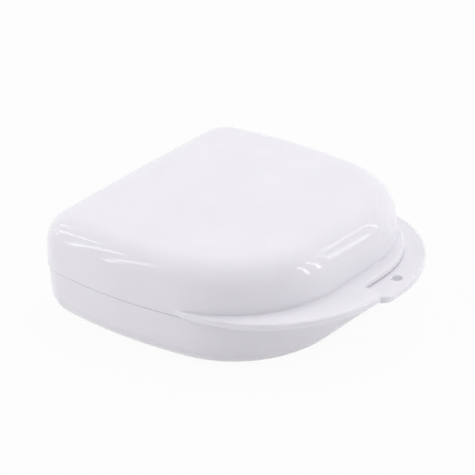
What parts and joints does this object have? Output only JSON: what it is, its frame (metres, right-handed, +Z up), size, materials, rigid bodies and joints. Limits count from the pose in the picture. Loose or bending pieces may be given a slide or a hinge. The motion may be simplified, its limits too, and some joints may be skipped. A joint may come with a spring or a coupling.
{
  "type": "denture case",
  "caption": "Hinged two-shell denture or retainer case with a rounded front, split half-round thumb tabs and a cord hole.",
  "frame": {"origin": "on the table, under the middle of the whole closed case", "axes": "+Z up, +Y towards the hinge, so the thumb tabs point towards -Y"},
  "size_m": [0.0784, 0.0888, 0.0284],
  "materials": {
    "shell_plastic": "glossy white polypropylene",
    "pin_steel": "plain drawn stainless wire"
  },
  "bodies": {
    "base": {"base_shell": "shell_plastic", "hinge_pin_left": "pin_steel", "hinge_pin_right": "pin_steel"},
    "lid": {"lid_shell": "shell_plastic"}
  },
  "joints": [
    {"name": "lid_hinge", "type": "hinge", "parent": "base", "child": "lid", "pos_m": [0, 0.0422, 0.01435], "axis": [-1, 0, 0], "range_deg": [0, 180]}
  ]
}
